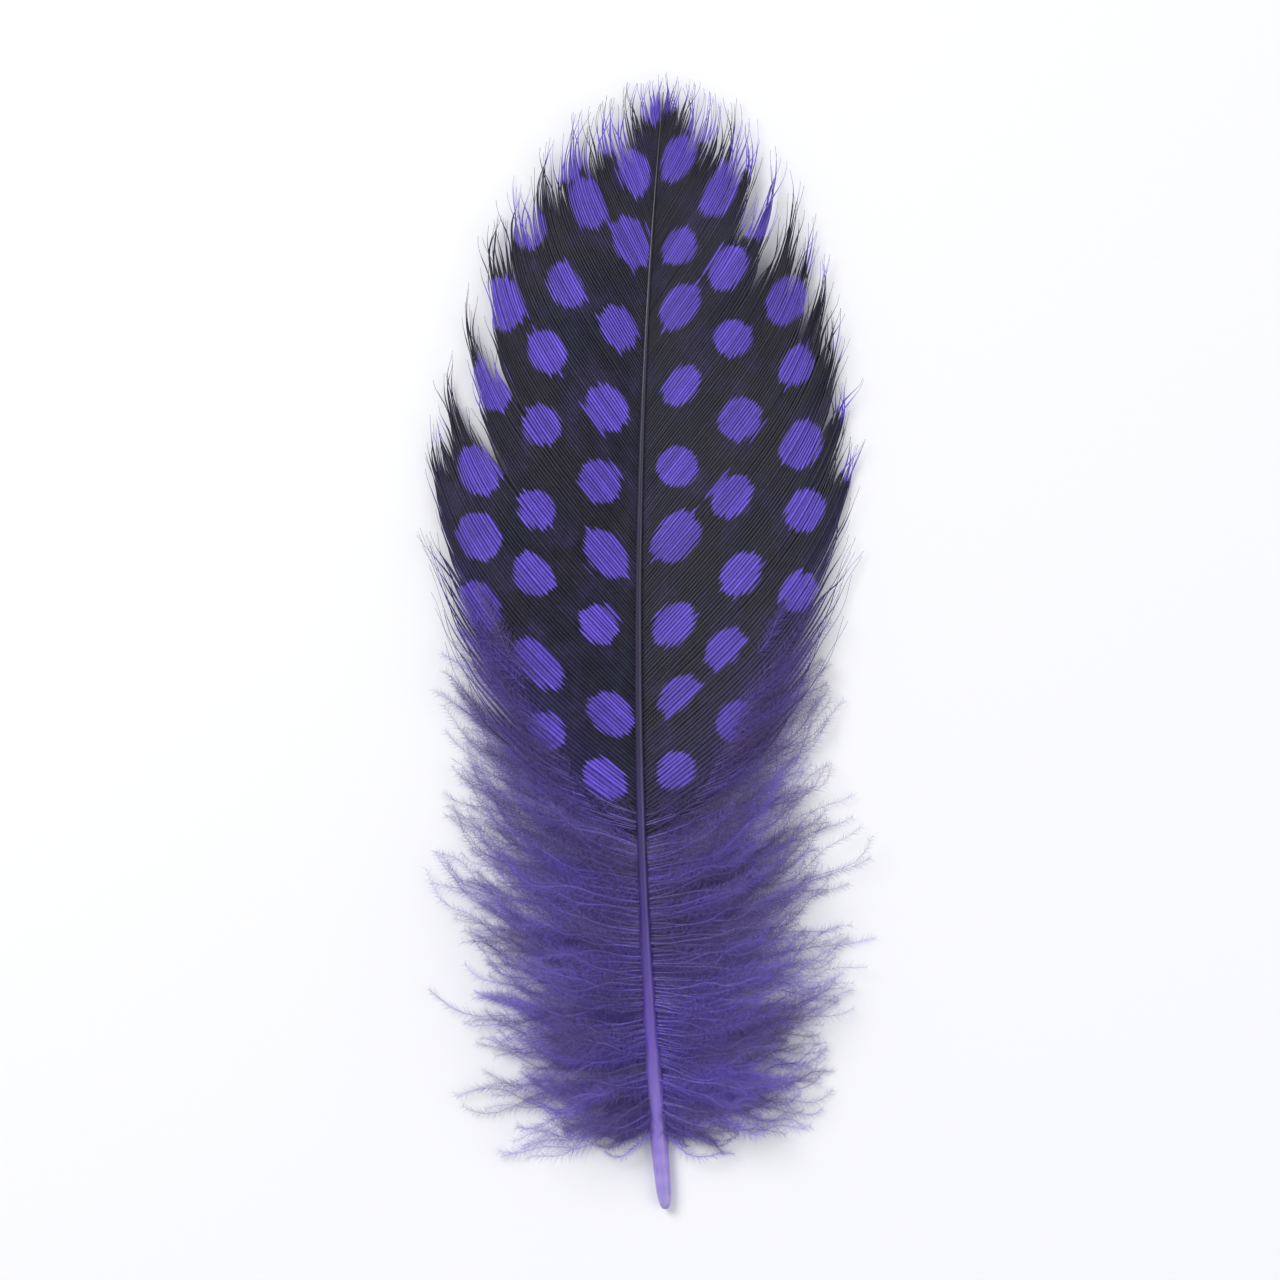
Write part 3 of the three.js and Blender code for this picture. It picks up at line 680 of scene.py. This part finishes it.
# A lock's oval section, with its width at both ends and how much wider its middle is, and
# its depth at the root. Then its threads: how far they reach, by which share of the way they
# have loosened, how far they drift off, rise, sway and nod, and how many waves each has.
TUFT_HALF_WIDTH, TUFT_BELLY = 0.0027, (0.8, 0.25)
TUFT_HALF_DEPTH, TUFT_ROOT_DEPTH, LOOSENED_BY = 0.0013, 0.12, 0.5
DOWN_BARBS, DOWN_STEPS = 16, 18
THREAD_REACH, THREAD_DRIFT, THREAD_RISE = (0.6, 1.06), 0.0014, 0.0006
DRIFT_MOST, DRIFT_POWER, LOWEST_DRIFT = 1.9, 1.5, 1.3
LONG_SWAY, LONG_WAVES = 0.0008, (0.5, 1.2)
SHORT_SWAY, SHORT_WAVES, SHORT_WIDENS = 0.00026, (1.8, 3.2), 2
THREAD_NOD, NOD_WAVES = 0.0004, (0.8, 2.0)


def tuft_lines(locks, side, barbs, chance):
    """The threads of every lock: each keeps its own place in the lock's oval section, and
    drifts off with the distance to the power of one and a half, most in the lowest locks.
    It sways and nods in sine waves that widen outwards."""
    def each(kind, *sizes):
        return getattr(chance, kind)(*sizes, (len(locks[0]), barbs, 1))

    t = np.linspace(0, 1, DOWN_STEPS) * each("uniform", *THREAD_REACH)
    middle = lock_line(*locks[:5], side, t)
    _, right, upward = headings(middle)
    across = each("uniform", -1, 1)
    above = each("uniform", -1, 1) * np.sqrt(1 - across**2)
    loosened = smooth(0, LOOSENED_BY, t)
    width = TUFT_HALF_WIDTH * (TUFT_BELLY[0] + TUFT_BELLY[1] * np.sin(np.pi * np.minimum(t, 1)))
    depth = TUFT_HALF_DEPTH * between(TUFT_ROOT_DEPTH, 1, loosened)
    droop = (1 + LOWEST_DRIFT * (1 - locks[5]) ** 2)[:, None, None]
    drift = THREAD_DRIFT * np.clip(each("normal", 0, 1), -DRIFT_MOST, DRIFT_MOST) * droop * t**DRIFT_POWER
    rise = each("normal", 0, THREAD_RISE) * t**DRIFT_POWER
    long_wave = swing(each("uniform", *LONG_WAVES) * t + each("random"))
    short_wave = swing(each("uniform", *SHORT_WAVES) * t + each("random"))
    nod = swing(each("uniform", *NOD_WAVES) * t + each("random"))
    widened = 1 + SHORT_WIDENS * t * t
    sway = loosened * (LONG_SWAY * long_wave + SHORT_SWAY * short_wave * widened)
    line = middle + (across * width + drift + sway)[..., None] * right
    line = line + (above * depth + rise + THREAD_NOD * loosened * nod)[..., None] * upward
    return above_table(line.reshape(-1, DOWN_STEPS, 3))


def threads(line, thickest, finest, sides, map_columns):
    """Threads along lines, with so many sides, which taper evenly from root to tip. In the
    flat map they take the left half of their cells."""
    _, right, upward = headings(line)
    radius = np.linspace(thickest, finest, line.shape[1])[:, None, None]
    turn = np.pi / 2 - 2 * np.pi * np.arange(sides)[:, None] / sides
    ring = line[:, :, None] + radius * (np.cos(turn) * right[:, :, None] + np.sin(turn) * upward[:, :, None])
    points, triangles, corner_map = joined_rings(ring, *lanes(len(line), map_columns, (0.0, 0.5)))
    out = np.broadcast_to(np.linspace(0, 1, line.shape[1])[None, :, None], ring.shape[:3])
    return points, triangles, corner_map, {"out": out.ravel(), "fluff": np.zeros(out.size)}


# Real barbules are about 0.01 mm thick and many hundreds to a thread. These are thicker and
# fewer, so that they show.
DOWN_BARBULES, BARBULE_RADIUS = 210, 0.000017
BARBULE_SLANT, BARBULE_ROLL, BARBULE_SPREAD = (0.6, 1.25), 0.75, (0.7, 1.15)
BARBULE_CROWDING, BARBULE_SHORTENS = 0.86, 0.66
FIRST_BARBULE, BARBULES_FULL_BY = 0.6, 0.15


def barbules(line, each, longest, map_columns, chance):
    """Barbules along lines: slim three-sided spikes that leave to both sides and a little
    up or down, at a slant towards the thread's tip. They stand slightly closer towards it,
    soon reach their full length and then grow shorter with the square of the distance. In
    the flat map they take the right half of their thread's cell, one above the other."""
    bodies, steps = line.shape[:2]
    along = ((np.arange(each) + chance.random((bodies, each))) / each) ** BARBULE_CROWDING
    below = np.minimum((along * (steps - 1)).astype(int), steps - 2)
    past = (along * (steps - 1) - below)[..., None]
    body = np.arange(bodies)[:, None]
    foot = line[body, below] * (1 - past) + line[body, below + 1] * past
    ahead, right, upward = (direction[body, below] for direction in headings(line))
    slant = chance.uniform(*BARBULE_SLANT, (bodies, each, 1))
    roll = (np.pi * (np.arange(each) % 2) + chance.normal(0, BARBULE_ROLL, (bodies, each)))[..., None]
    heading = np.cos(slant) * ahead + np.sin(slant) * (np.cos(roll) * right + np.sin(roll) * upward)
    shape = between(FIRST_BARBULE, 1, smooth(0, BARBULES_FULL_BY, along))
    shape = shape * (1 - BARBULE_SHORTENS * along**2)
    length = longest * shape * chance.uniform(*BARBULE_SPREAD, (bodies, each))
    tip = above_table(foot + length[..., None] * heading)
    one = unit(np.cross(tip - foot, ahead))
    other = unit(np.cross(tip - foot, one))
    turn = 2 * np.pi * np.arange(3)[:, None] / 3
    girth = BARBULE_RADIUS * (np.cos(turn) * one[:, :, None] + np.sin(turn) * other[:, :, None])
    points = np.concatenate([foot[:, :, None] + girth, tip[:, :, None]], 2)
    ids = np.arange(bodies * each * 4).reshape(-1, 1, 4)
    corners = np.array([[0, 1, 3], [1, 2, 3], [2, 0, 3], [0, 2, 1]])
    triangles = ids[:, 0][:, corners].reshape(-1, 3)
    low, high = lanes(bodies, map_columns, (0.5, 1.0))
    height = 0.5 / each
    flat = np.array([[[0, -height], [0, height], [1, 0]]] * 3 + [[[0, -height], [0.1, 0], [0, height]]])
    centre = np.stack([0 * along, between(*WALL_SHARE, along)], -1)[:, :, None, None]
    place = np.clip(centre + flat, 0, 1)
    corner_map = low[:, None, None, None] + (high - low)[:, None, None, None] * place
    out = np.repeat(along.ravel(), 4)
    fluff = np.tile([0.0, 0.0, 0.0, 1.0], bodies * each)
    return points.reshape(-1, 3), triangles, corner_map.reshape(-1, 3, 2), {"out": out, "fluff": fluff}


def joined(parts):
    """Several sets of points, triangles, maps and marks as one set."""
    starts = np.cumsum([0] + [len(part[0]) for part in parts[:-1]])
    triangles = np.concatenate([part[1] + start for part, start in zip(parts, starts)])
    points, corner_map = (np.concatenate([part[i] for part in parts]) for i in (0, 2))
    marks = {mark: np.concatenate([part[3][mark] for part in parts]) for mark in parts[0][3]}
    return points, triangles, corner_map, marks


def down_threads():
    """Down dyed like the web, without its black: matt, and painted lighter, as light that
    passes from barbule to barbule would make it. Painted shade darkens the barbules towards
    their threads' roots, in the depth of a tuft, and the down is darker towards the vane."""
    material, tree, out, mark = new_finish("dyed_down", "out", "fluff", "tone", "high")
    colours = {"data_type": "RGBA"}
    # Painted light: these colours are lighter than the dye alone, for light passing through the fluff, and
    # the barbules are painted darker near their threads' roots as shade in the depth of a tuft.
    barbule = add(tree, "Mix", colours, _0=mark["out"], _6=linear("#6854b0"), _7=linear("#8976d0"))
    thread = add(tree, "Mix", colours, _0=mark["out"], _6=linear("#a696e8"), _7=linear("#8a78d6"))
    on_thread = add(tree, "MapRange", Value=mark["fluff"], From_Max=0.12, To_Min=1.0, To_Max=0.0)
    soft = add(tree, "Mix", colours, _0=on_thread, _6=barbule, _7=thread)
    darker = add(tree, "Math", {"operation": "MULTIPLY"}, _0=mark["high"], _1=0.5)
    upper = add(tree, "Mix", colours, _0=darker, _6=soft, _7=linear("#4a3876"))
    # The dye took duller in patches about 8 mm wide, and deeper on every third thread or so.
    place = add(tree, "TexCoord").outputs["Object"]
    stain = add(tree, "TexNoise", Vector=place, Scale=120.0, Detail=2.0)
    dull = add(tree, "MapRange", Value=stain, From_Min=0.42, From_Max=0.62, To_Max=0.6)
    mauve = add(tree, "Mix", colours, _0=dull, _6=upper, _7=linear("#6c5992"))
    deep = add(tree, "MapRange", Value=mark["tone"], From_Min=0.62, From_Max=0.72, To_Max=0.35)
    streaked = add(tree, "Mix", colours, _0=deep, _6=mauve, _7=linear("#6048cc"))
    tone = add(tree, "MapRange", Value=mark["tone"], To_Min=0.7, To_Max=1.56)
    coloured = add(tree, "VectorMath", {"operation": "SCALE"}, _0=streaked, Scale=tone)
    surface = add(tree, "BsdfPrincipled", Base_Color=coloured, Roughness=0.75, IOR=1.54,
                  Sheen_Weight=0.2, Sheen_Roughness=0.6, Sheen_Tint=linear("#c9c0ff"))
    tree.links.new(surface.outputs[0], out.inputs[0])
    return material


THREAD_ROOT_RADIUS, THREAD_TIP_RADIUS, THREAD_SIDES = 0.00006, 0.00001, 3
MAP_COLUMNS = 40


def tufts(line, share, each, longest, chance):
    """Threads with their barbules along some lines as one set, with a tone for each thread
    and its share of the way from the quill to the vane."""
    own = {"tone": chance.random(len(line)), "high": share}
    parts = []
    for part in (threads(line, THREAD_ROOT_RADIUS, THREAD_TIP_RADIUS, THREAD_SIDES, MAP_COLUMNS),
                 barbules(line, each, longest, MAP_COLUMNS, chance)):
        marks = {mark: np.repeat(values, len(part[0]) // len(line)) for mark, values in own.items()}
        parts.append((*part[:3], part[3] | marks))
    return joined(parts)


# The vane's lowest barbs: values at the lowest and the highest of them, leans in degrees and
# how much each varies, their waves, and how they come up through the vane and lift
FOOT_BARBS = 34
FOOT_ROOT, FOOT_SPAN = (0.0455, 0.0555), (0.0265, 0.0275)
FOOT_LEAN_OUT, FOOT_LEAN_END, FOOT_LEANS_VARY = (76, 68), (46, 36), (2.5, 8)
FOOT_BARE, FOOT_REACH = (0.08, 0.62), (0.62, 1.04)
FOOT_WAVE, FOOT_WAVES, FOOT_WAVE_FULL_BY = 0.0006, (0.8, 2.2), 0.6
FOOT_OVER, FOOT_SUNK, FOOT_UP_BY = 0.00012, 0.0006, 0.14
FOOT_LIFT, FOOT_LIFTS_FROM, FOOT_LIFT_WAVE = 0.0009, 0.1, 0.6


def foot_lines(side, count, chance):
    """The downy outer parts of the vane's lowest barbs: curves like the locks', rooted from
    the down's upper end on. Each is downy from further out the higher up it is rooted. It
    comes up through the vane there, lies on it as far as that goes, and lifts a little
    towards its end, with a sine wave both across and in height."""
    share = (np.arange(count) + chance.random(count)) / count
    root, span = between(*FOOT_ROOT, share), between(*FOOT_SPAN, share)
    lean_out = np.radians(between(*FOOT_LEAN_OUT, share) + chance.normal(0, FOOT_LEANS_VARY[0], count))
    lean_end = np.radians(between(*FOOT_LEAN_END, share) + chance.normal(0, FOOT_LEANS_VARY[1], count))
    reach = np.linspace(0, 1, DOWN_STEPS) * chance.uniform(*FOOT_REACH, (count, 1))
    bare = between(*FOOT_BARE, share)[:, None]
    t = (bare + (1 - bare) * reach)[:, None]
    line = lock_line(root, span, lean_out, lean_end, np.zeros((count, 4)), side, t)[:, 0]
    _, right, _ = headings(line)
    wave = swing(chance.uniform(*FOOT_WAVES, (count, 1)) * t[:, 0] + chance.random((count, 1)))
    line = line + (FOOT_WAVE * smooth(0, FOOT_WAVE_FULL_BY, reach) * wave)[..., None] * right
    over = vane_height(line[..., 0] - bow(line[..., 1]), line[..., 1])
    sunk = FOOT_SUNK * (1 - smooth(0, FOOT_UP_BY, reach))
    lift = FOOT_LIFT * smooth(FOOT_LIFTS_FROM, 1, reach) * (1 + FOOT_LIFT_WAVE * wave)
    line[..., 2] = over + FOOT_OVER - sunk + lift
    return above_table(line)


# The wisps' lowest and highest values: roots, spans, leans in degrees, how far each rises
# before its end and the heights of the last two points of its curve
WISPS = 16
WISP_ROOT, WISP_SPAN = (0.0098, 0.0135), (0.004, 0.0105)
WISP_LEAN_OUT, WISP_LEAN_END = (105, 155), (55, 125)
WISP_RISE, WISP_FAR, WISP_TIP = (0, 0.002), (0.0003, 0.0035), (0.0002, 0.0022)
WISP_WAVE, WISP_WAVES = 0.0007, (0.6, 1.6)


def wisp_lines(side, count, chance):
    """Short curled barbs round the quill's upper end: curves like the locks' that start
    backwards along the quill and turn outwards, with a slow wave."""
    def each(low, high):
        return chance.uniform(low, high, count)

    root, span = each(*WISP_ROOT), each(*WISP_SPAN)
    lean_out, lean_end = np.radians(each(*WISP_LEAN_OUT)), np.radians(each(*WISP_LEAN_END))
    high = shaft_height(root)
    heights = np.stack([high, high + each(*WISP_RISE), each(*WISP_FAR), each(*WISP_TIP)], -1)
    reach = np.linspace(0, 1, DOWN_STEPS)
    t = np.broadcast_to(reach, (count, 1, DOWN_STEPS))
    line = lock_line(root, span, lean_out, lean_end, heights, side, t)[:, 0]
    _, right, _ = headings(line)
    wave = swing(each(*WISP_WAVES)[:, None] * reach + each(0, 1)[:, None])
    return above_table(line + (WISP_WAVE * reach * wave)[..., None] * right)


DOWN = down_threads()
DOWN_BARBULE, WISP_BARBULE = 0.0026, 0.0016
# Each layer's name and locks, and the barbs that it holds besides: what draws them, how
# many they are, their share of the way to the vane and their longest barbules
LAYERS = (("lying", slice(0, DOWN_STATIONS), wisp_lines, WISPS, 0.0, WISP_BARBULE),
          ("standing", slice(DOWN_STATIONS, None), foot_lines, FOOT_BARBS, 1.0, DOWN_BARBULE))
for side, hand in ((-1, "left"), (1, "right")):
    chance = np.random.default_rng(60 + side)
    locks = down_locks(side)
    for name, own, more_lines, more, high, barbule in LAYERS:
        layer = [values[own] for values in locks]
        line = np.concatenate([tuft_lines(layer, side, DOWN_BARBS, chance), more_lines(side, more, chance)])
        share = np.concatenate([np.repeat(layer[5], DOWN_BARBS), np.full(more, high)])
        longest = np.repeat([DOWN_BARBULE, barbule], [len(line) - more, more])[:, None]
        surface_piece(f"down_{hand}_{name}", DOWN, *tufts(line, share, DOWN_BARBULES, longest, chance))

# Afterfeather
# A second, small plume that springs from the back of the quill's upper end and lies under
# the shaft. It is down from end to end, on a thread-like stem of its own.
AFTER_ROOT, AFTER_END = 0.011, 0.064
AFTER_RADIUS, AFTER_TAPER, AFTER_LIFT = 0.0005, 0.4, 0.0011
AFTER_STATIONS = 6
AFTER_FIRST_LOCK, AFTER_LAST_LOCK = AFTER_ROOT + 0.002, AFTER_END - 0.003
AFTER_SPAN, AFTER_LYING = (0.019, 0.013), (0.0011, 0.0007)
AFTER_LEAN_OUT, AFTER_LEAN_END = (70, 40), (34, 6)
AFTER_BARBS, AFTER_BARBULES, AFTER_BARBULE = 10, 100, 0.0024
STEM_STEPS, STEM_SIDES, STEM_TONE, STEM_SUNK_BY = 24, 8, 0.6, 0.1


def after_height(y):
    """The afterfeather's height: it lies low, and lifts a little under the arched shaft."""
    return AFTER_RADIUS + AFTER_LIFT * arch_share(y)


def after_locks():
    """The afterfeather's locks on one side, given as the down's are: long at its foot and
    short at its end, evenly apart, with the last one at the end."""
    share = (np.arange(AFTER_STATIONS) + 1) / AFTER_STATIONS
    root = between(AFTER_FIRST_LOCK, AFTER_LAST_LOCK, share)
    low = after_height(root)
    heights = np.stack([low, low, 0 * low + AFTER_LYING[0], 0 * low + AFTER_LYING[1]], -1)
    leans = [np.radians(between(*lean, share)) for lean in (AFTER_LEAN_OUT, AFTER_LEAN_END)]
    return root, between(*AFTER_SPAN, share), *leans, heights, share


chance = np.random.default_rng(71)
locks = after_locks()
line = np.concatenate([tuft_lines(locks, side, AFTER_BARBS, chance) for side in (-1, 1)])
share = np.tile(np.repeat(locks[5], AFTER_BARBS), 2)
surface_piece("afterfeather", DOWN, *tufts(line, share, AFTER_BARBULES, AFTER_BARBULE, chance))

# The stem leaves the shaft's middle, and sinks to its own height over its first tenth.
share = np.linspace(0, 1, STEM_STEPS)
y = between(AFTER_ROOT, AFTER_END, share)
z = between(shaft_height(y), after_height(y), smooth(0, STEM_SUNK_BY, share))
stem_line = np.stack([bow(y), y, z], -1)[None]
*stem, marks = threads(stem_line, AFTER_RADIUS, AFTER_TAPER * AFTER_RADIUS, STEM_SIDES, 1)
marks |= {"tone": np.full(len(stem[0]), STEM_TONE), "high": np.zeros(len(stem[0]))}
surface_piece("afterfeather_stem", DOWN, *stem, marks)

# Floor, light and camera
# A plain pale floor under the lying feather, soft studio light from above and a camera
# that looks straight down on the feather, tip upwards in the picture.
FLOOR_SIZE = 6.0
CAMERA_HEIGHT, PICTURE_HEIGHT = 0.9, 0.152
SENSOR_WIDTH_MM = 36.0
bpy.context.scene.view_settings.view_transform = "Standard"
bpy.ops.mesh.primitive_plane_add(size=FLOOR_SIZE, location=(0, 0, 0))
floor = bpy.context.object
floor.name = "floor"
paper, paper_tree, paper_out, _ = new_finish("matt_white_paper")
paper_surface = add(paper_tree, "BsdfPrincipled", Base_Color=linear("#f4f4f6"), Roughness=0.9)
paper_tree.links.new(paper_surface.outputs[0], paper_out.inputs[0])
floor.data.materials.append(paper)


def soft_light(name, place, size, power):
    """A square area light that faces the feather."""
    lamp = bpy.data.lights.new(name, "AREA")
    lamp.size, lamp.energy = size, power
    holder = bpy.data.objects.new(name, lamp)
    holder.location = place
    holder.rotation_euler = (-Vector(place)).to_track_quat("-Z", "Y").to_euler()
    bpy.context.collection.objects.link(holder)


soft_light("window_light", (-0.55, 0.45, 0.75), 0.5, 7.0)
soft_light("fill_light", (0.7, -0.2, 0.6), 0.8, 2.6)
world = bpy.data.worlds.new("studio")
bpy.context.scene.world = world
world.use_nodes = True
world.node_tree.nodes["Background"].inputs[0].default_value = linear("#f2f3f7")
world.node_tree.nodes["Background"].inputs[1].default_value = 0.55

camera_data = bpy.data.cameras.new("camera")
camera_data.sensor_width = SENSOR_WIDTH_MM
camera_data.lens = SENSOR_WIDTH_MM * CAMERA_HEIGHT / PICTURE_HEIGHT
camera_data.clip_start, camera_data.clip_end = 0.05, 20.0
camera = bpy.data.objects.new("camera", camera_data)
camera.location = (0, 0, CAMERA_HEIGHT)
bpy.context.collection.objects.link(camera)
bpy.context.scene.camera = camera
